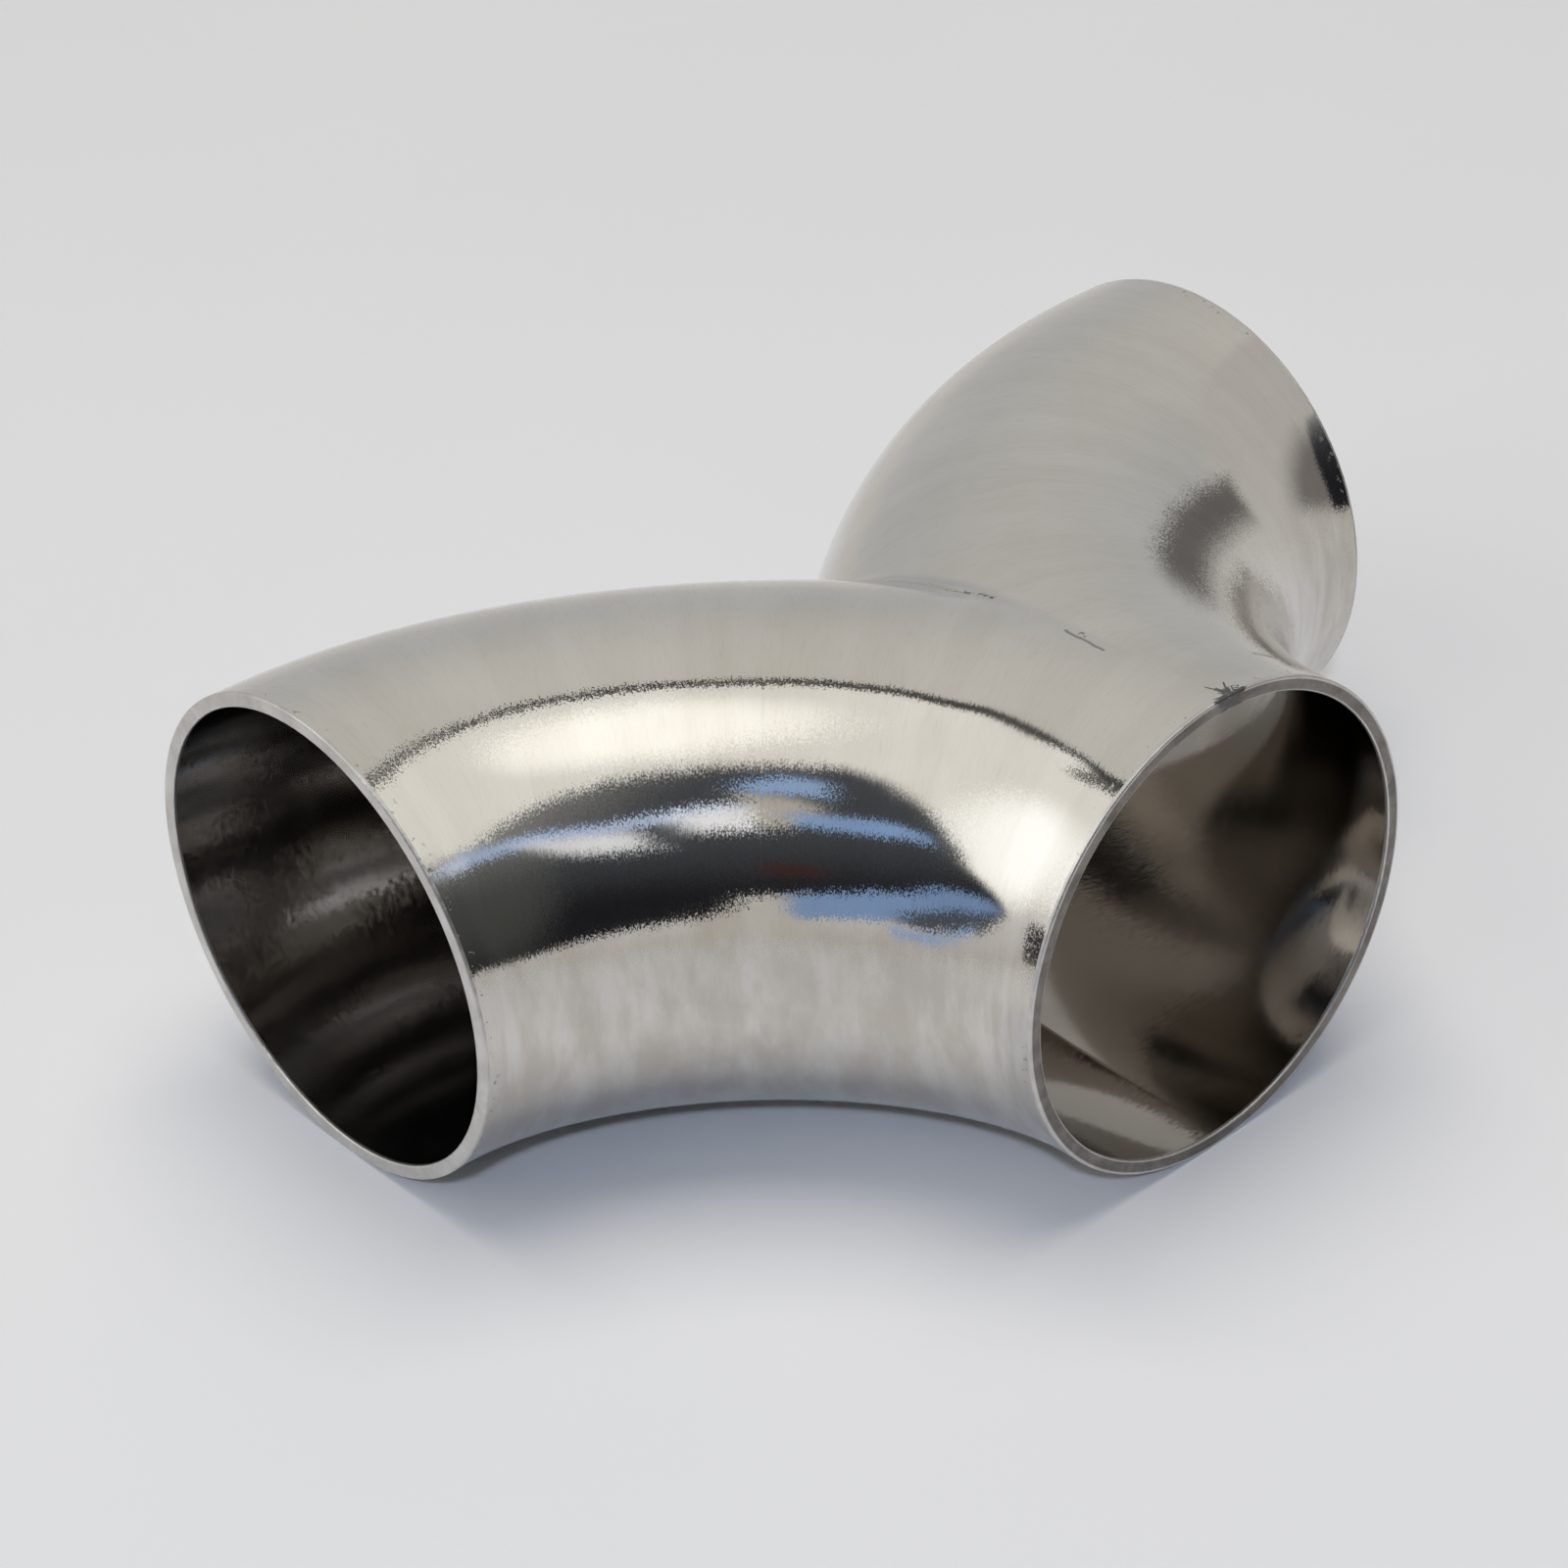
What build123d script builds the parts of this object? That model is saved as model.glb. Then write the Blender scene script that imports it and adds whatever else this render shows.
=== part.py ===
from build123d import *
import os

# Driving dimensions, in millimetres
tube_diameter = 51.0        # outside diameter of the tubes the fitting is welded to
wall = 1.5                  # tube wall
centre_to_face = 60.5       # from the crossing of the port axes to each port face
sized_end = 2.0             # straight, true-round length at each port
weld_start = 10.0           # from the common face to where the bends have parted enough to need a weld
crotch_radius = 4.0         # weld between the two bends, ground to this radius outside
root_radius = 2.0           # and dressed to this radius in the bore
edge_break = 0.2            # bevelled edges of the port faces

# Shape of a bend's centreline: 0.552 is a true quarter circle, and less is a bend that is tight
# beside its ports and opens out over its middle, as a pressed tube bend does
bend_fullness = 0.478

tube_radius = tube_diameter / 2
bore_radius = tube_radius - wall
turned = centre_to_face - sized_end
overall_depth = centre_to_face + tube_radius
common_face = Vector(0, 0, tube_radius)
branch_face = Vector(centre_to_face, centre_to_face, tube_radius)


def end_rod(radius, face_centre, inward):
    """The sized length of a port as a solid rod, from its face inwards."""
    return extrude(Plane(origin=face_centre, z_dir=inward) * Circle(radius), sized_end)


def bend_rod(radius):
    """The turned length of the right-hand bend as a solid rod."""
    start = common_face + Vector(0, sized_end, 0)
    finish = branch_face - Vector(sized_end, 0, 0)
    pull = turned * bend_fullness
    centreline = Bezier(start, start + Vector(0, pull, 0), finish - Vector(pull, 0, 0), finish)
    return sweep(Plane(origin=start, z_dir=(0, 1, 0)) * Circle(radius), path=centreline)


def wye_rod(radius, valley_radius):
    """Both bends and their three ends in one solid, the valley where the bends cross filled to a radius.

    The valley is a curve in the middle plane. It starts from nothing beside the common port, where
    the two bends are one tube, and deepens to the crotch, where their outer walls meet at 90 degrees."""
    half = split(bend_rod(radius), Plane.YZ, keep=Keep.TOP)
    both = half + mirror(half, Plane.YZ)
    parting = Plane(origin=(0, weld_start, 0), z_dir=(0, 1, 0))
    stem = split(both, parting, keep=Keep.BOTTOM)
    fork = split(both, parting, keep=Keep.TOP)
    valley = fork.edges().filter_by(
        lambda edge: abs(edge.center().X) < 0.001 and edge.center().Y > weld_start + 1)
    fork = fillet(valley, valley_radius)
    right_end = end_rod(radius, branch_face, (-1, 0, 0))
    common_end = end_rod(radius, common_face, (0, 1, 0))
    return stem + fork + common_end + right_end + mirror(right_end, Plane.YZ)


def on_port_face(edge):
    """Whether an edge is one of the two circles of a port face."""
    spot = edge.center()
    return abs(spot.Y) < 0.001 or abs(abs(spot.X) - centre_to_face) < 0.001


body = wye_rod(tube_radius, crotch_radius) - wye_rod(bore_radius, root_radius)
body = chamfer(body.edges().filter_by(on_port_face), min(edge_break, wall / 3))

# The wye lies on its side on z = 0, centred on the origin, its common port facing -Y
wye_body = (Pos(0, -overall_depth / 2, 0) * body).solid()
wye_body.label = "wye_body"

print("volume", round(wye_body.volume), "valid", wye_body.is_valid, wye_body.bounding_box())
os.makedirs("parts", exist_ok=True)
export_step(wye_body, "parts/wye_body.step")
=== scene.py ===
from math import cos, pi, radians, sin, sqrt

import bpy
from mathutils import Matrix, Vector


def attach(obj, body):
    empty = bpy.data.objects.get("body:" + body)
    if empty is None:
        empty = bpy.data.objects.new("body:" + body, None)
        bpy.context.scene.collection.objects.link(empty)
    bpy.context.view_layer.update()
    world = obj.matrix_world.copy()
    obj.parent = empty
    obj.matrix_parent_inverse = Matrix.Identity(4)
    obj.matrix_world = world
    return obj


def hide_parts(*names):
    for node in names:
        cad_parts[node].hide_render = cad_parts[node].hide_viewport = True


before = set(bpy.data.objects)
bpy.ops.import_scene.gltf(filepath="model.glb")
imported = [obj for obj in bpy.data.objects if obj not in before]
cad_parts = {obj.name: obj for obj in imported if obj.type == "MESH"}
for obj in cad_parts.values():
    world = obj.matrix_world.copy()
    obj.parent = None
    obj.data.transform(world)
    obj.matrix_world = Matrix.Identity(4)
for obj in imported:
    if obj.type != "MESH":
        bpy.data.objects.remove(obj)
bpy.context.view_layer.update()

# Camera
# A longish lens on a stand, in front of the fitting and to its left, looking down on it.
# It leans a little, so the floor's level lines run slightly uphill to the right.
lens = bpy.data.cameras.new("camera")
lens.sensor_width, lens.lens = 36, 85.67  # millimetres
lens.clip_start = 0.01
camera = bpy.data.objects.new("camera", lens)
bpy.context.collection.objects.link(camera)
bpy.context.scene.camera = camera
bearing, height, lean = radians(-40.341), radians(32.696), radians(-3.34)
back = Vector((sin(bearing) * cos(height), -cos(bearing) * cos(height), sin(height)))
level = Vector((cos(bearing), sin(bearing), 0))
right = level * cos(lean) + back.cross(level) * sin(lean)
aimed_at, distance = Vector((-0.01140, 0.00563, 0.0255)), 0.37503
turned = Matrix((right, back.cross(right), back)).transposed().to_4x4()
camera.matrix_world = Matrix.Translation(aimed_at + back * distance) @ turned
bpy.context.scene.view_settings.view_transform = "Standard"


# Light tent
# The fitting stands in a white cloth tent lit from outside, whose front is left open for the camera.
# The steel mirrors all of it: cream roof and side, grey back, the roof's seam, and the dim open front with
# daylight in it. To the camera itself the surround is plain and pale.
class Figure:
    """A number that a node tree works out. Adding, multiplying and so on place its Math nodes."""

    def __init__(self, tree, socket):
        self.tree, self.socket = tree, socket

    def by(self, operation, *others, first=True):
        """This figure and the others put through one Math node, this one first unless told otherwise."""
        step = self.tree.nodes.new("ShaderNodeMath")
        step.operation = operation
        for place, value in zip(step.inputs, (self, *others) if first else (*others, self)):
            wire(value, place)
        return Figure(self.tree, step.outputs[0])

    def __add__(self, other):
        return self.by("ADD", other)

    def __sub__(self, other):
        return self.by("SUBTRACT", other)

    def __rsub__(self, other):
        return self.by("SUBTRACT", other, first=False)

    def __mul__(self, other):
        return self.by("MULTIPLY", other)

    def __neg__(self):
        return self.by("MULTIPLY", -1)

    def __truediv__(self, other):
        return self.by("DIVIDE", other)

    def __rtruediv__(self, other):
        return self.by("DIVIDE", other, first=False)

    __radd__, __rmul__ = __add__, __mul__

    def held(self):
        """This figure, kept from going below 0 or above 1."""
        return self.by("MAXIMUM", 0).by("MINIMUM", 1)

    def eased(self, low, high):
        """0 below low, 1 above high, and smooth between."""
        step = put(self.tree, "ShaderNodeMapRange", self, low, high, interpolation_type="SMOOTHSTEP")
        return Figure(self.tree, step.outputs[0])


def wire(value, place):
    """Link a socket to this figure or socket, or set it to this value."""
    if isinstance(value, Figure):
        value = value.socket
    if isinstance(value, bpy.types.NodeSocket):
        place.id_data.links.new(value, place)
    else:
        place.default_value = value


def put(tree, kind, *values, **settings):
    """Place a node with these settings. Values go to its sockets in order, or by name as (name, value)."""
    node = tree.nodes.new(kind)
    for name, value in settings.items():
        setattr(node, name, value)
    for number, value in enumerate(values):
        if isinstance(value, tuple) and isinstance(value[0], str):
            wire(value[1], next(s for s in node.inputs if s.name == value[0] and s.enabled))
        else:
            wire(value, node.inputs[number])
    return node


def parts(tree, vector):
    """The three figures that a vector is made of."""
    return [Figure(tree, part) for part in put(tree, "ShaderNodeSeparateXYZ", vector).outputs]


def blended(tree, share, none, full):
    """One colour going over to another as the share goes from 0 to 1."""
    mix = put(tree, "ShaderNodeMix", ("Factor", share), data_type="RGBA")
    for place, value in ((mix.inputs[6], none), (mix.inputs[7], full)):
        wire((*value, 1) if isinstance(value, tuple) else value, place)
    return mix.outputs[2]


def towards(bearing, height):
    """The direction at this bearing from straight in front, and this height above the floor's horizon."""
    turn, rise = radians(bearing), radians(height)
    return Vector((sin(turn) * cos(rise), -cos(turn) * cos(rise), sin(rise)))


surround = bpy.data.worlds.new("light tent")
bpy.context.scene.world = surround
surround.use_nodes = True
tent = surround.node_tree
tent.nodes.clear()
direction = put(tent, "ShaderNodeTexCoord").outputs["Generated"]
rightward, backward, upward = parts(tent, direction)
degrees = 180 / pi
# a direction's bearing and height in degrees, and a 1 that takes in how far off an outline's edge lies
chart = put(tent, "ShaderNodeCombineXYZ", rightward.by("ARCTAN2", -backward) * degrees,
            upward.by("ARCSINE") * degrees, 1.0).outputs[0]


def along(line):
    """How far a direction lies along this line."""
    product = put(tent, "ShaderNodeVectorMath", direction, tuple(line), operation="DOT_PRODUCT")
    return Figure(tent, product.outputs["Value"])


def within(corners, soft):
    """1 inside these corners, each a bearing and height in degrees, and fading over soft degrees."""
    middle = sum((Vector(c) for c in corners), Vector((0, 0))) / len(corners)
    inside = None
    for here, there in zip(corners, corners[1:] + corners[:1]):
        run = Vector(there) - Vector(here)
        square = Vector((-run.y, run.x)).normalized()
        square = square if square.dot(middle - Vector(here)) > 0 else -square
        edge = (*square, -square.dot(Vector(here)))
        product = put(tent, "ShaderNodeVectorMath", chart, edge, operation="DOT_PRODUCT")
        depth = Figure(tent, product.outputs["Value"])
        inside = depth if inside is None else inside.by("MINIMUM", depth)
    return inside.eased(-soft / 2, soft / 2)


def painted(under, mask, colour):
    """This colour laid over what is there, where the mask is 1."""
    return blended(tent, mask, under, colour)


up_there = along((0, 0, 1))
# the cloth, darker low down and on the right, and brightest where the lamps outside it stand close
look = painted((0.71, 0.70, 0.69), up_there.eased(0.02, 0.32), (1.02, 1.00, 0.95))
look = painted(look, along(towards(85, 4)).eased(0.72, 1.0), (0.56, 0.55, 0.54))
look = painted(look, along(towards(-5, 84)).eased(0.955, 0.996), (1.52, 1.50, 1.42))
look = painted(look, along(towards(-114, 33)).eased(0.90, 0.995), (1.56, 1.58, 1.56))
# the back sheet, and the dark seam that sews it to the roof and, at its left corner, to the side
side_cloth = look
behind = along((0.5311, 0.7982, -0.2844))  # 0 on the fold between roof and back, which runs straight across
back_sheet = painted((0.555, 0.56, 0.56), up_there.eased(0.2, 0.98), (0.72, 0.70, 0.66))
look = painted(look, behind.eased(0.0, 0.02), back_sheet)
look = painted(look, behind.by("ABSOLUTE").eased(0.038, 0.018), (0.030, 0.028, 0.025))
look = painted(look, within([(-162, 67), (-164, -8), (-110, -8), (-110, 67)], 1.5), side_cloth)
for colour, soft, corners in [
    # the seam where it turns down the corner
    ((0.13, 0.13, 0.13), 2, [(-143, 61.5), (-150, 55.5), (-158, 50), (-165, 50), (-165, 55), (-157, 56.5)]),
    ((0.05, 0.05, 0.05), 2, [(-159, 66.5), (-163, 66.5), (-165, 48), (-161, 48)]),
    # the right side, in shade towards its foot
    ((0.60, 0.585, 0.565), 6, [(38, 46), (66, 50), (96, 60), (96, -8), (38, -8)]),
    ((0.22, 0.205, 0.20), 14, [(44, -5), (76, -7), (70, 8), (58, 24), (44, 24)]),
    ((0.15, 0.145, 0.14), 5, [(93, -8), (93, 9), (118, 11), (118, -8)]),
]:
    look = painted(look, within(corners, soft), colour)
# paper lit from above fills what lies below the horizon
look = painted(look, up_there.eased(0.02, -0.16), (0.62, 0.605, 0.585))
# the dim open front of the tent, hazy towards the right, in four overlapping pieces
room = painted((0.016, 0.016, 0.020), up_there.eased(0.15, 0.60), (0.066, 0.071, 0.082))
haze = along(towards(50, 50)).eased(0.60, 1.0) * up_there.eased(0.35, 0.62)
room = painted(room, haze, (0.31, 0.31, 0.305))
room = painted(room, along(towards(16, 20)).eased(0.86, 1.0) * 0.7, (0.10, 0.105, 0.10))
for soft, corners in [
    (7, [(16, 45), (8, 53), (-4, 58), (-13, 63), (-44, 66.5), (-75, 63.5), (-83, 58), (-87, 46), (-88, 31),
         (20, 31)]),
    (4, [(-84, 34), (-90, 29), (-98, 21.5), (-107, 13), (-110, 8), (-100, 0), (-80, -1)]),
    (2.5, [(50, -3), (51, 14), (54, 31), (44, 36), (16, 44.5), (-46, 48), (-46, 6), (-41, 0.5), (4, -4),
           (28, -4.5)]),
    (4, [(-37, 48), (-86, 48), (-93, 30), (-93, 9), (-37, 9)]),
]:
    look = painted(look, within(corners, soft), room)
for colour, soft, corners in [
    # blue daylight high up, and a warm pale patch under it
    ((0.38, 0.56, 0.88), 4, [(-49, 53), (-50, 58), (-60, 60), (-69, 58), (-67, 51)]),
    ((0.60, 0.57, 0.51), 4, [(-48, 54), (-54, 52), (-64, 48.5), (-63, 44), (-56, 38), (-50, 40)]),
    # a long strip of daylight, with paler patches below it
    ((0.30, 0.47, 0.80), 3, [(-58, 44.5), (-75, 41.5), (-86, 35.5), (-86, 32), (-74, 35), (-58, 38)]),
    ((0.72, 0.82, 1.02), 3, [(36, 37), (22, 41.5), (22, 36.5), (33, 32.5)]),
    ((0.50, 0.64, 0.92), 3, [(23, 41.5), (6, 44), (6, 39.5), (23, 36.5)]),
    ((0.46, 0.60, 0.90), 3, [(7, 44), (-18, 46), (-18, 41), (7, 39.5)]),
    ((0.98, 1.00, 1.06), 6, [(2, 41), (-17, 42), (-28, 41), (-31, 34), (-20, 33), (-6, 37)]),
    ((0.62, 0.76, 1.05), 3, [(-17, 46.5), (-34, 48), (-49, 51.5), (-49, 46), (-17, 41)]),
    ((1.20, 1.22, 1.30), 6, [(-35, 45), (-50, 48), (-50, 38), (-38, 38)]),
    # a faint warm patch, the pale edge at the foot, and low daylight with a dark shape in it
    ((0.065, 0.03, 0.026), 5, [(-52, 23.5), (-61, 21), (-61, 17.5), (-52, 18.5)]),
    ((0.63, 0.61, 0.575), 3, [(-60, -9), (-58, 8.5), (-54, 9), (-48, 7), (-41, 0.5), (-36, -9)]),
    ((0.25, 0.39, 0.66), 2.5, [(-55, 0), (-55, 10), (-72, 12), (-84, 14), (-84, 3), (-72, 0)]),
    ((0.23, 0.36, 0.62), 3, [(-80, 14), (-87, 15.5), (-99, 14), (-108, 10), (-104, 7), (-90, 5), (-80, 3)]),
    ((0.085, 0.10, 0.12), 3, [(-75, 0), (-80, 5), (-93, 7.5), (-105, 6), (-96, 1), (-84, -2)]),
    ((0.35, 0.51, 0.82), 2.5, [(-75, -3), (-75, -6.5), (-86, -7), (-86, -3)]),
    ((0.35, 0.51, 0.82), 2.5, [(-85, -3), (-85, -7), (-96, -2), (-100, 3.5), (-95, 1)]),
    # a small dark gap, low on the left
    ((0.022, 0.02, 0.02), 2,
     [(-123.5, 1), (-124.5, 6), (-127.5, 5), (-130, -3), (-128.5, -8.5), (-124.5, -7)]),
]:
    look = painted(look, within(corners, soft), colour)
# seen from the paper the tent is dimmed, so the steel casts little of its light back onto the paper
plain = put(tent, "ShaderNodeBackground", (0.70, 0.705, 0.715, 1), 1)
path = put(tent, "ShaderNodeLightPath").outputs
off_paper = Figure(tent, path["Diffuse Depth"]).by("MINIMUM", 1)
mirrored = put(tent, "ShaderNodeBackground", look, 1 - off_paper * 0.8)
which = put(tent, "ShaderNodeMixShader", path["Is Camera Ray"], mirrored.outputs[0], plain.outputs[0])
put(tent, "ShaderNodeOutputWorld", which.outputs[0])
surround.cycles.sampling_method, surround.cycles.sample_map_resolution = "MANUAL", 512
surround.cycles_visibility.diffuse = False

# Paper lights
# Soft lamps over the roof, its front edge and the side, and a small bluish light in front, light the paper
# on which the steel's shadow falls. The steel itself mirrors only the tent.
# Each has its name, watts, metres across, colour, bearing and height, and metres from the middle.
for name, watts, across, colour, stands, away in [
    ("roof lamp", 24.2, 1.5, (1.0, 0.945, 0.86), (142, 85), 2.0),
    ("roof's front edge", 6.4, 2.2, (0.87, 0.91, 1.0), (-44, 60), 2.3),
    ("side lamp", 5.2, 1.4, (1.0, 0.97, 0.92), (-110, 34), 1.7),
    ("window light", 15.0, 0.12, (0.67, 0.78, 1.0), (-44, 42), 2.3),
]:
    lamp_light = bpy.data.lights.new(name, "AREA")
    lamp_light.energy, lamp_light.size, lamp_light.color = watts, across, colour
    lamp = bpy.data.objects.new(name, lamp_light)
    there = towards(*stands)
    turned = there.to_track_quat("Z", "Y").to_matrix().to_4x4()
    lamp.matrix_world = Matrix.Translation(there * away) @ turned
    lamp.visible_glossy = lamp.visible_camera = False
    bpy.context.collection.objects.link(lamp)

# Floor
# White paper laid flat inside the tent. It is matt, cool white and very slightly uneven. The steel
# mirrors it only near the fitting, because further off it goes over into the foot of the tent.
reach = 3  # metres each way
floor_mesh = bpy.data.meshes.new("paper_floor")
floor_mesh.from_pydata([(-reach, -reach, 0), (reach, -reach, 0), (reach, reach, 0), (-reach, reach, 0)],
                       [], [(0, 1, 2, 3)])
floor = bpy.data.objects.new("paper_floor", floor_mesh)
bpy.context.collection.objects.link(floor)


def noise(tree, where, scale, detail, *more):
    """Random soft patches, from 0 to 1 and mostly near a half."""
    node = put(tree, "ShaderNodeTexNoise", ("Vector", where), ("Scale", scale), ("Detail", detail), *more)
    return Figure(tree, node.outputs["Fac"])


paper = bpy.data.materials.new("white paper")
paper.use_nodes = True
tree = paper.node_tree
tree.nodes.clear()
spot = put(tree, "ShaderNodeTexCoord").outputs["Object"]
cloud = noise(tree, spot, 9, 3).eased(0.3, 0.7)
tone = blended(tree, cloud, (0.855, 0.866, 0.882), (0.875, 0.880, 0.890))
sheet = put(tree, "ShaderNodeBsdfPrincipled", ("Base Color", tone), ("Roughness", 0.6))
from_middle = Figure(tree, put(tree, "ShaderNodeVectorMath", spot, operation="LENGTH").outputs["Value"])
in_steel = Figure(tree, put(tree, "ShaderNodeLightPath").outputs["Is Glossy Ray"])
gone = put(tree, "ShaderNodeBsdfTransparent")
laid = put(tree, "ShaderNodeMixShader", in_steel * from_middle.eased(0.07, 0.26), sheet.outputs[0],
           gone.outputs[0])
put(tree, "ShaderNodeOutputMaterial", laid.outputs[0])
floor_mesh.materials.append(paper)

# Wye body
# Two drawn 51 mm stainless bends, cut on the middle plane and butt welded back to back along the cut,
# then ground flush, so it is one piece. The ports are faced square with their edges just broken.
tube_radius, wall = 0.0255, 0.0015
bore_radius = tube_radius - wall
centre_to_face, sized_end = 0.0605, 0.002
fullness = 0.478  # of the bend's centreline, where 0.552 would be a quarter circle
weld_radius, root_radius = 0.004, 0.002
edge_break = 0.0002
common_face = -(centre_to_face + tube_radius) / 2  # its y, with the whole wye centred on the origin
sides = 144  # faces round a tube
rows_outside, rows_inside = 56, 48  # faces along a bend up to the crotch, and as many beyond it
joined_within = 2e-6  # points nearer than this are one


def come_round(t, run, pull):
    """How far a bend's centreline has gone sideways, t from 0 at its start to 1 at its end."""
    return t * t * (3 * (1 - t) * (run - pull) + t * run)


def turning(t, run, pull):
    """How fast it goes sideways there."""
    return 3 * t * (2 * (1 - t) * (run - pull) + t * pull)


def parting(radius):
    """Where along its centreline a bend of this radius leaves the middle plane, which is at the crotch."""
    run = centre_to_face - sized_end
    pull = run * fullness
    near, far = 0, 1
    for _ in range(60):  # each time halving the stretch that holds it
        t = (near + far) / 2
        ahead, aside = turning(1 - t, run, pull), turning(t, run, pull)
        still_joined = come_round(t, run, pull) < radius * ahead / sqrt(ahead**2 + aside**2)
        near, far = (t, far) if still_joined else (near, t)
    return near


def start_tree(name, numbers):
    """A geometry tree with these named numbers, handed back as figures."""
    tree = bpy.data.node_groups.new(name, "GeometryNodeTree")
    tree.interface.new_socket("Geometry", in_out="OUTPUT", socket_type="NodeSocketGeometry")
    for number, value in numbers.items():
        kind = "NodeSocketInt" if isinstance(value, int) else "NodeSocketFloat"
        tree.interface.new_socket(number, in_out="INPUT", socket_type=kind).default_value = value
    given = tree.nodes.new("NodeGroupInput")
    return tree, {number: Figure(tree, given.outputs[number]) for number in numbers}


def sheet_of(tree, rows, columns):
    """A flat grid, with how far each point is across its rows and its columns, from 0 to 1."""
    grid = put(tree, "GeometryNodeMeshGrid", 1, 1, rows, columns).outputs["Mesh"]
    row, column, _ = parts(tree, put(tree, "GeometryNodeInputPosition").outputs[0])
    return grid, row + 0.5, column + 0.5


def round_tube(tree, off_middle, radius, ahead, across):
    """The angle round a tube as across goes from 0 to 1, without the part that the cut takes off."""
    cut = (off_middle / (radius * ahead.by("MAXIMUM", 1e-4)) + 1e-6).by("MINIMUM", 1).by("ARCCOSINE")
    spread = across - (across * (2 * pi)).by("SINE") * (0.7 / (2 * pi))  # closer together near the cut
    return cut + (2 * pi - cut * 2) * spread


def shaped(tree, grid, x, y, z, lengthwise, angle, depth, skin):
    """The grid moved into place, with how its polishing runs, in mm, and its skin's number written on it."""
    run = put(tree, "ShaderNodeCombineXYZ", lengthwise * 1000, angle, 0).outputs[0]
    grid = put(tree, "GeometryNodeStoreNamedAttribute", grid, ("Name", "polish"), ("Value", run),
               data_type="FLOAT2", domain="CORNER").outputs[0]
    grid = put(tree, "GeometryNodeStoreNamedAttribute", grid, ("Name", "skin"), ("Value", skin),
               data_type="INT", domain="FACE").outputs[0]
    place = put(tree, "ShaderNodeCombineXYZ", x, y - depth / 2, z).outputs[0]
    return put(tree, "GeometryNodeSetPosition", grid, ("Position", place)).outputs[0]


sizes = {"Tube radius": tube_radius, "Wall": wall, "Centre to face": centre_to_face, "Sized end": sized_end,
         "Fullness": fullness, "Edge break": edge_break, "Sides": sides}

# one wall of half the wye, from the common port round the bend to a branch port
wall_tree, given = start_tree("bent wall", {
    **sizes, "Radius": tube_radius, "Valley radius": weld_radius, "Crotch at": 0.5,
    "Rows to crotch": rows_outside, "Rows beyond": rows_outside, "Skin": 0})
tree = wall_tree
run = given["Centre to face"] - given["Sized end"]
pull = run * given["Fullness"]
grid, row, across = sheet_of(tree, given["Rows to crotch"] + given["Rows beyond"] + 1, given["Sides"] + 1)
row = row * (given["Rows to crotch"] + given["Rows beyond"])
first = (row / given["Rows to crotch"]).by("MINIMUM", 1)
second = ((row - given["Rows to crotch"]) / given["Rows beyond"]).by("MAXIMUM", 0)
overrun = (given["Sized end"] - given["Edge break"] * 2) / (pull * 3)
t = (given["Crotch at"] + overrun) * first * (2 - first) - overrun
t = t + (1 + overrun - given["Crotch at"]) * second * (0.3 + second * 0.7)  # closer together by the crotch
on_bend = t.held()
x = come_round(on_bend, run, pull) + (t - 1).by("MAXIMUM", 0) * pull * 3
y = given["Centre to face"] - come_round(1 - on_bend, run, pull) + t.by("MINIMUM", 0) * pull * 3
aside, ahead = turning(on_bend, run, pull), turning(1 - on_bend, run, pull)
speed = (aside * aside + ahead * ahead).by("SQRT")
aside, ahead = aside / speed, ahead / speed
angle = round_tube(tree, x, given["Radius"], ahead, across)
cosine, sine = angle.by("COSINE"), angle.by("SINE")
x = x - given["Radius"] * cosine * ahead
# where the two bends meet at an angle, the weld fills the valley to a radius
tilt = (ahead * cosine).by("MAXIMUM", 0)
rise = (1 - tilt * tilt).by("MAXIMUM", 0.01).by("SQRT")
off = x.by("ABSOLUTE")
in_weld = (given["Valley radius"] * tilt).by("GREATER_THAN", off)
bottom = (given["Valley radius"] * given["Valley radius"] - off * off).by("MAXIMUM", 0).by("SQRT")
fill = (given["Valley radius"] / rise - bottom - off * tilt / rise) * in_weld / rise
y = y + given["Radius"] * cosine * aside + fill * aside * cosine
z = given["Radius"] * sine + fill * sine + given["Tube radius"]
depth = given["Centre to face"] + given["Tube radius"]
made = shaped(tree, grid, x, y, z, t * run * 1.5, angle, depth, given["Skin"])  # a bend is 1.5 runs long
put(tree, "NodeGroupOutput", made)

# the faced end of a tube between its outer and inner walls, with both edges broken to a small radius
rim_tree, given = start_tree("faced rim", {**sizes, "Branch": 0, "Steps": 4, "Skin": 2})
tree = rim_tree
grid, row, across = sheet_of(tree, given["Steps"] * 5 + 1, given["Sides"] + 1)
# one after another: the outer wall, its broken edge, the flat face, the bore's broken edge, the bore's wall
stretch = [(row * 5 - n).held() for n in range(5)]
corner = (stretch[1] + stretch[3]) * (pi / 2)
flat = given["Wall"] / 2 - given["Edge break"]
radius = given["Tube radius"] - given["Wall"] / 2 + flat * (1 - stretch[2] * 2)
radius = radius + given["Edge break"] * corner.by("COSINE")
inward = given["Edge break"] * (1 - corner.by("SINE") + 1 - stretch[0] + stretch[4])
branch = given["Branch"]
x = branch * (given["Centre to face"] - inward)
y = branch * (given["Centre to face"] - inward) + inward
angle = round_tube(tree, x, radius, 1 - branch, across)
x = x - radius * angle.by("COSINE") * (1 - branch)
y = y + radius * angle.by("COSINE") * branch
z = radius * angle.by("SINE") + given["Tube radius"]
depth = given["Centre to face"] + given["Tube radius"]
made = shaped(tree, grid, x, y, z, radius, angle, depth, given["Skin"])
put(tree, "NodeGroupOutput", made)

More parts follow.
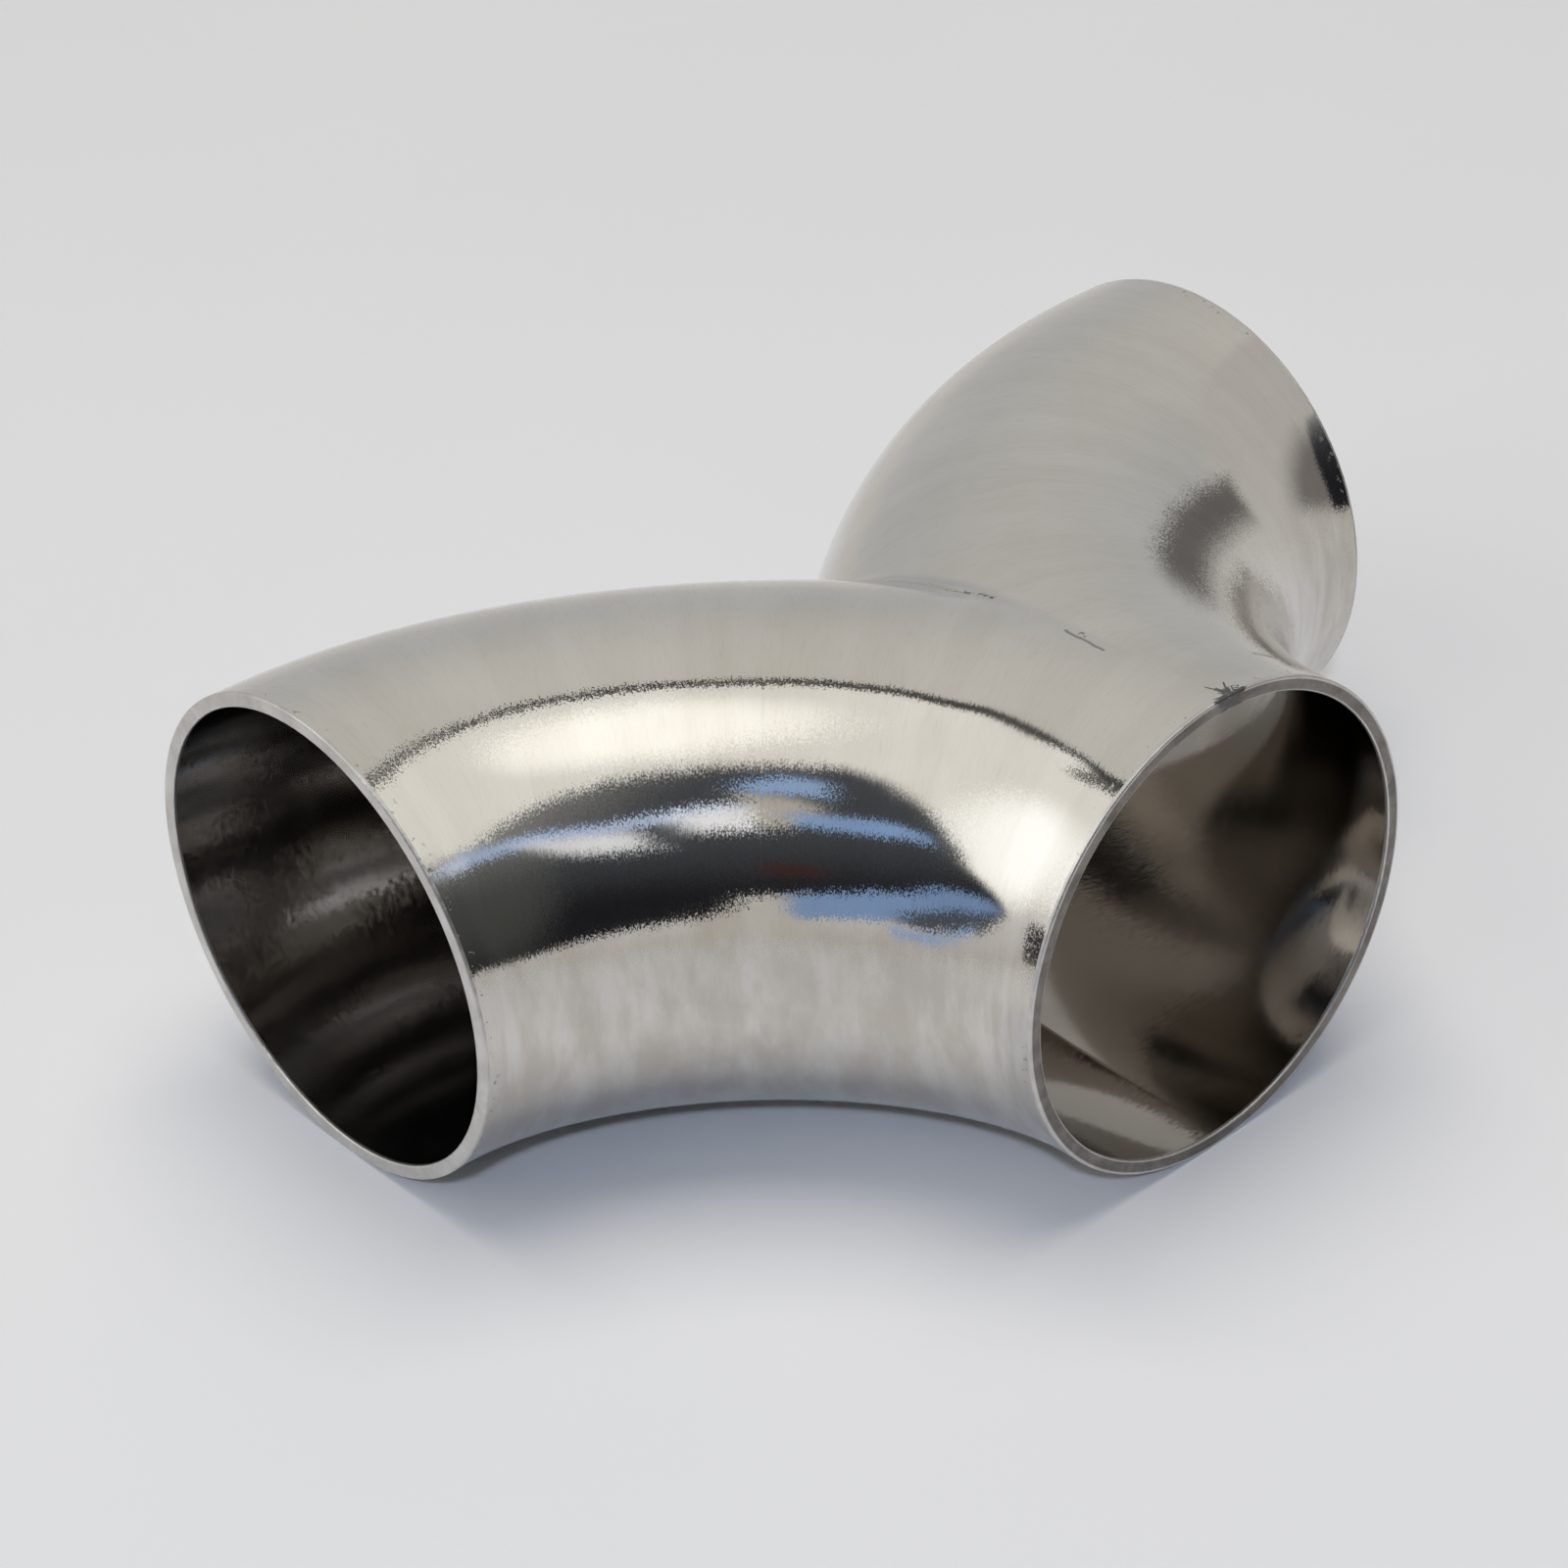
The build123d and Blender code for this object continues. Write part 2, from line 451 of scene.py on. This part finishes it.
# the half made of two walls and two rims, and its mirror image welded to it
wye_sizes = {**sizes, "Weld radius": weld_radius, "Root radius": root_radius,
             "Outside parts at": parting(tube_radius), "Bore parts at": parting(bore_radius)}
wye_tree, given = start_tree("butt weld wye", wye_sizes)
tree = wye_tree


def patch(group, flipped, **numbers):
    """A wall or a rim made to the wye's sizes, turned inside out where it would face inwards."""
    node = put(tree, "GeometryNodeGroup", node_tree=group)
    for name in sizes:
        wire(given[name], node.inputs[name])
    for name, value in numbers.items():
        wire(value, node.inputs[name.replace("_", " ")])
    return put(tree, "GeometryNodeFlipFaces", node.outputs[0]).outputs[0] if flipped else node.outputs[0]


half = put(tree, "GeometryNodeJoinGeometry")
for surface in [
    patch(wall_tree, True, Radius=given["Tube radius"], Valley_radius=given["Weld radius"],
          Crotch_at=given["Outside parts at"], Rows_to_crotch=rows_outside, Rows_beyond=rows_outside, Skin=0),
    patch(wall_tree, False, Radius=given["Tube radius"] - given["Wall"], Valley_radius=given["Root radius"],
          Crotch_at=given["Bore parts at"], Rows_to_crotch=rows_inside, Rows_beyond=rows_inside, Skin=1),
    patch(rim_tree, False, Branch=0),
    patch(rim_tree, True, Branch=1),
]:
    tree.links.new(surface, half.inputs[0])
half = put(tree, "GeometryNodeMergeByDistance", half.outputs[0], ("Distance", joined_within)).outputs[0]
other = put(tree, "GeometryNodeTransform", half, ("Scale", (-1, 1, 1))).outputs[0]
other = put(tree, "GeometryNodeFlipFaces", other).outputs[0]
# its polishing starts 217 mm further on, so that the two halves' strokes don't mirror each other
written = put(tree, "GeometryNodeInputNamedAttribute", "polish", data_type="FLOAT_VECTOR").outputs[0]
moved = put(tree, "ShaderNodeVectorMath", written, (217.0, 0, 0)).outputs[0]
other = put(tree, "GeometryNodeStoreNamedAttribute", other, ("Name", "polish"), ("Value", moved),
            data_type="FLOAT2", domain="CORNER").outputs[0]
both = put(tree, "GeometryNodeJoinGeometry")
tree.links.new(half, both.inputs[0])
tree.links.new(other, both.inputs[0])
body = put(tree, "GeometryNodeMergeByDistance", both.outputs[0], ("Distance", joined_within)).outputs[0]
body = put(tree, "GeometryNodeSetShadeSmooth", body).outputs[0]
body = put(tree, "GeometryNodeRealizeInstances", body).outputs[0]
skin = put(tree, "GeometryNodeInputNamedAttribute", "skin", data_type="INT").outputs[0]
finishes = [bpy.data.materials.new(name) for name in ("polished outside", "polished bore", "faced rim")]
for number, finish in enumerate(finishes):
    this = put(tree, "FunctionNodeCompare", ("A", skin), ("B", number), data_type="INT", operation="EQUAL")
    body = put(tree, "GeometryNodeSetMaterial", body, ("Selection", this.outputs[0]), ("Material", finish))
    body = body.outputs[0]
put(tree, "NodeGroupOutput", body)

seed = bpy.data.objects.new("wye_seed", bpy.data.meshes.new("wye_seed"))
bpy.context.collection.objects.link(seed)
maker = seed.modifiers.new("butt weld wye", "NODES")
maker.node_group = wye_tree
for item in wye_tree.interface.items_tree:
    if item.in_out == "INPUT":
        maker[item.identifier] = wye_sizes[item.name]
wye_mesh = bpy.data.meshes.new_from_object(seed.evaluated_get(bpy.context.evaluated_depsgraph_get()))
wye_mesh.name = "wye"
wye_mesh.materials.pop(index=0)  # the grid's empty slot
wye = bpy.data.objects.new("wye", wye_mesh)
bpy.context.collection.objects.link(wye)
bpy.data.objects.remove(seed)

# its finish: the outside is belt polished round the tube and buffed bright, which leaves fine hoop-wise
# strokes, the bore is as drawn and pickled, darker and browner, and the port faces are cut and dressed
# strokes are soft noise drawn out round the tube, in four layers
strokes = bpy.data.node_groups.new("polishing strokes", "ShaderNodeTree")
for name in ("Lengthwise", "Round", "Radius", "Stroke width", "Stroke length"):
    strokes.interface.new_socket(name, in_out="INPUT", socket_type="NodeSocketFloat")
for name in ("Tone", "Deep strokes", "Tilt along", "Tilt round"):
    strokes.interface.new_socket(name, in_out="OUTPUT", socket_type="NodeSocketFloat")
given = strokes.nodes.new("NodeGroupInput")
lengthwise, angle, radius, width, length = [Figure(strokes, given.outputs[n]) for n in range(5)]
reach = radius / length
layers = []
for wider, longer, shift in [
    (1, 1, 0),        # fine
    (1.2, 0.16, 31),  # short
    (2.8, 2.5, 57),   # broad
    (1.4, 3.0, 77),   # sparse
]:
    where = put(strokes, "ShaderNodeCombineXYZ", lengthwise / (width * wider) + shift,
                angle.by("COSINE") * reach / longer, angle.by("SINE") * reach / longer).outputs[0]
    layers.append(noise(strokes, where, 1, 2, ("Roughness", 0.6)) - 0.5)
fine, short, broad, sparse = layers
put(strokes, "NodeGroupOutput", fine * 0.9 + broad * 1.1 + 0.5, sparse.eased(0.13, 0.24),
    short * 1.3 + broad * 0.1, fine * 0.35 + short * 1.3 + broad * 0.1)

# patches where the steel is a little duller, broad ones with finer ones in them
clouding = bpy.data.node_groups.new("clouding", "ShaderNodeTree")
clouding.interface.new_socket("Place", in_out="INPUT", socket_type="NodeSocketVector")
clouding.interface.new_socket("Patch size", in_out="INPUT", socket_type="NodeSocketFloat")
for name in ("Cloud", "Haze"):
    clouding.interface.new_socket(name, in_out="OUTPUT", socket_type="NodeSocketFloat")
given = clouding.nodes.new("NodeGroupInput")
scale = 1 / Figure(clouding, given.outputs[1])
broad = noise(clouding, given.outputs[0], scale, 4, ("Distortion", 0.6))
fine = noise(clouding, given.outputs[0], scale * 4.3, 3)
put(clouding, "NodeGroupOutput", (broad * 0.75 + fine * 0.25).eased(0.34, 0.66), fine.eased(0.45, 0.75))

# a torn burr lies over the common port's edge, and its mask serves both the outside and the port's face
torn = bpy.data.node_groups.new("torn burr", "ShaderNodeTree")
torn.interface.new_socket("Place", in_out="INPUT", socket_type="NodeSocketVector")
torn.interface.new_socket("Burr", in_out="OUTPUT", socket_type="NodeSocketFloat")
given = torn.nodes.new("NodeGroupInput")
middle_of_burr = (0.0010, common_face, 0.0505)
torn_tone = (0.13, 0.125, 0.125)
# its core is about a millimetre in radius, and splinters stick out of it by up to 2 mm
from_burr = put(torn, "ShaderNodeVectorMath", given.outputs[0], middle_of_burr, operation="SUBTRACT")
from_burr = from_burr.outputs[0]
spread = put(torn, "ShaderNodeVectorMath", from_burr, operation="NORMALIZE").outputs[0]
spikes = (noise(torn, spread, 2.6, 3, ("Roughness", 0.7)) - 0.42) * 0.0072
reach = Figure(torn, put(torn, "ShaderNodeVectorMath", from_burr, operation="LENGTH").outputs["Value"])
put(torn, "NodeGroupOutput", (reach - spikes).eased(0.0011, 0.0008))


def blank(finish):
    """Empty a material. Hand back its tree, places on the wye, and how far along and round the tube."""
    finish.use_nodes = True
    tree = finish.node_tree
    tree.nodes.clear()
    place = put(tree, "ShaderNodeTexCoord").outputs["Object"]
    lengthwise, angle, _ = parts(tree, put(tree, "ShaderNodeUVMap", uv_map="polish").outputs[0])
    return tree, place, lengthwise, angle


def grouped(tree, group, *numbers):
    """What a group works out from these numbers."""
    node = put(tree, "ShaderNodeGroup", *numbers, node_tree=group)
    return [Figure(tree, out) for out in node.outputs]


def tilted(tree, lean_along, lean_round):
    """The surface's normal leaned by these slopes, stroke by stroke."""
    slope = put(tree, "ShaderNodeCombineXYZ", lean_along * 0.5 + 0.5, lean_round * 0.5 + 0.5, 1.0).outputs[0]
    return put(tree, "ShaderNodeNormalMap", ("Color", slope), uv_map="polish").outputs[0]


def along_polish(tree):
    """The way the strokes run, for the stretch of the highlights."""
    return put(tree, "ShaderNodeTangent", direction_type="UV_MAP", uv_map="polish").outputs[0]


outside, bore, rim = finishes

# the outside: strokes 0.17 mm wide and 1.4 mm long, and clouds 16 mm across
tree, place, lengthwise, angle = blank(outside)
shade, deep, lean_along, lean_round = grouped(tree, strokes, lengthwise, angle, 25.5, 0.17, 1.4)
cloud, _ = grouped(tree, clouding, place, 0.016)
x, y, z = parts(tree, place)
wander = noise(tree, place, 260, 2) - 0.5
# the weld is a thin line on the middle plane towards the crotch, in a wider and duller ground band
off_seam = (x + wander * 0.0012).by("ABSOLUTE")
weld = off_seam.eased(0.0014, 0.0002) * y.eased(-0.020, -0.004)
ground = off_seam.eased(0.0060, 0.0010) * y.eased(-0.034, -0.012)
# the belt's passes leave bands round the tube, a little lighter and darker
belt = put(tree, "ShaderNodeTexNoise", ("W", lengthwise * 0.15), ("Scale", 1), ("Detail", 2),
           noise_dimensions="1D")
band = Figure(tree, belt.outputs["Fac"]).eased(0.35, 0.65)
tone = blended(tree, cloud * 0.6 + band * 0.4, (0.675, 0.655, 0.62), (0.62, 0.597, 0.555))
tone = blended(tree, (shade - 0.5).by("MAXIMUM", 0) * 0.35, tone, (0.40, 0.38, 0.35))
# a faint brown mottling low on the tubes, fading in below 40 mm and drawn out along the strokes
rubbed = put(tree, "ShaderNodeCombineXYZ", lengthwise / 5, angle.by("COSINE") * 2.6, angle.by("SINE") * 2.6)
film = noise(tree, rubbed.outputs[0], 1, 5, ("Roughness", 0.62))
low = z.eased(0.040, 0.027)
tone = blended(tree, film.eased(0.34, 0.66) * low * 0.8, tone, (0.50, 0.46, 0.415))
tone = blended(tree, weld * 0.45, tone, (0.42, 0.40, 0.43))
# on top: painted shade along a soft crease, and marks left by grinding and handling, each from one place to
# another, with its width and depth
grit = noise(tree, place, 1500, 3)
flat = put(tree, "ShaderNodeCombineXYZ", x + wander * 0.0012, y + wander * 0.0009, 0.0).outputs[0]
marks = []
for start, end, width, depth, gritty in [
    ((-0.0052, -0.0028), (-0.0026, -0.0118), 0.0010, 0.55, False),   # painted shade of a soft crease
    ((-0.0016, -0.0088), (-0.0002, -0.0134), 0.0007, 0.9, True),     # flecks beside it
    ((-0.0010, -0.0240), (-0.0015, -0.0292), 0.00030, 0.65, False),  # a scratch
    ((-0.0004, -0.0254), (-0.0014, -0.0266), 0.00045, 0.9, True),    # flecks beside that
    ((0.0103, -0.0374), (0.0116, -0.0381), 0.00045, 0.4, False),     # a small smear
]:
    start, run = Vector((*start, 0)), Vector((*end, 0)) - Vector((*start, 0))
    out = put(tree, "ShaderNodeVectorMath", flat, tuple(start), operation="SUBTRACT").outputs[0]
    share = put(tree, "ShaderNodeVectorMath", out, tuple(run / run.length_squared), operation="DOT_PRODUCT")
    share = Figure(tree, share.outputs["Value"]).held()
    foot = put(tree, "ShaderNodeVectorMath", tuple(run), ("Scale", share), operation="SCALE").outputs[0]
    away = put(tree, "ShaderNodeVectorMath", out, foot, operation="DISTANCE").outputs["Value"]
    mark = Figure(tree, away).eased(width, width * 0.2) * depth
    marks.append(mark * grit.eased(0.52, 0.60) if gritty else mark)
crease, scratches, *others = marks
for mark in others:
    scratches = scratches.by("MAXIMUM", mark)
on_top = z.eased(0.036, 0.040)
# painted shade along the soft crease, on top only
tone = blended(tree, crease * on_top, tone, (0.47, 0.455, 0.475))
burr = grouped(tree, torn, place)[0]
# small nicks along the ports' edges, within nicked of each face
nicked = 0.0013
past_end = (x.by("ABSOLUTE") - (centre_to_face - nicked)).by("MAXIMUM", common_face + nicked - y) * 1000
nicks = past_end.eased(-0.6, 0.6) * grit.eased(0.63, 0.70)
dents = scratches * on_top + burr + nicks * 0.6
tone = blended(tree, dents.by("MINIMUM", 1), tone, torn_tone)
steel = put(tree, "ShaderNodeBsdfPrincipled", ("Base Color", tone), ("Metallic", 1),
            ("Roughness", 0.07 + cloud * 0.02 + deep * 0.05 + ground * 0.16 + dents * 0.2),
            ("Anisotropic", 0.4), ("Tangent", along_polish(tree)))
ripple = noise(tree, place, 75, 1)
waves = put(tree, "ShaderNodeBump", ("Height", ripple * 10 - weld - dents * 2), ("Distance", 0.000012),
            ("Strength", 1), ("Normal", tilted(tree, lean_along * 0.09, lean_round * 0.09)))
wire(waves.outputs[0], steel.inputs["Normal"])
put(tree, "ShaderNodeOutputMaterial", steel.outputs[0])

# the bore: longer and wider strokes, paler inside the left port, and painted shade darkening the right of the
# common one
tree, place, lengthwise, angle = blank(bore)
_, _, lean_along, lean_round = grouped(tree, strokes, lengthwise, angle, 24, 0.3, 6)
cloud, haze = grouped(tree, clouding, place, 0.020)
x, y, _ = parts(tree, place)
past_bend = x.eased(-0.045, -0.015)
tone = blended(tree, past_bend, (0.60, 0.595, 0.59), (0.375, 0.345, 0.31))
tone = blended(tree, cloud * 0.3, tone, (0.33, 0.305, 0.28))
# painted shade inside the common port, on the right near its mouth
right_of_mouth = x.eased(0.012, 0.020) * y.eased(-0.026, -0.036)
tone = blended(tree, right_of_mouth * 0.6, tone, (0.15, 0.13, 0.11))
steel = put(tree, "ShaderNodeBsdfPrincipled", ("Base Color", tone), ("Metallic", 1),
            ("Roughness", 0.10 + past_bend * 0.02 + cloud * 0.03 + haze * 0.03), ("Anisotropic", 0.3),
            ("Specular Tint", (0.68, 0.67, 0.66, 1)), ("Tangent", along_polish(tree)))
wire(tilted(tree, lean_along * 0.05, lean_round * 0.04), steel.inputs["Normal"])
put(tree, "ShaderNodeOutputMaterial", steel.outputs[0])

# the port faces: cut strokes round the tube and small clouds
tree, place, lengthwise, angle = blank(rim)
shade, _, lean_along, lean_round = grouped(tree, strokes, lengthwise, angle, 25, 0.25, 2.5)
cloud, _ = grouped(tree, clouding, place, 0.004)
tone = blended(tree, cloud, (0.66, 0.645, 0.625), (0.56, 0.54, 0.52))
# the common port's face was cut last and left dull and brownish between its two bright edges
x, y, z = parts(tree, place)
off_axis = (x * x + (z - tube_radius) * (z - tube_radius)).by("SQRT")
dull = off_axis.eased(bore_radius + 0.00010, bore_radius + 0.00022)
dull = dull * off_axis.eased(tube_radius - 0.00022, tube_radius - 0.00038)
dull = dull * y.eased(common_face + 0.0015, common_face + 0.0008)
streaks = (cloud * 0.6 + shade * 0.6 - 0.1).by("MAXIMUM", 0)
tone = blended(tree, dull, tone, blended(tree, streaks, (0.27, 0.25, 0.235), (0.14, 0.125, 0.115)))
tone = blended(tree, grouped(tree, torn, place)[0], tone, torn_tone)
steel = put(tree, "ShaderNodeBsdfPrincipled", ("Base Color", tone), ("Metallic", 1),
            ("Roughness", 0.34 + cloud * 0.12))
wire(tilted(tree, lean_along * 0.4, lean_round * 0.4), steel.inputs["Normal"])
put(tree, "ShaderNodeOutputMaterial", steel.outputs[0])

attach(wye, "root")
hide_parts("wye_body")
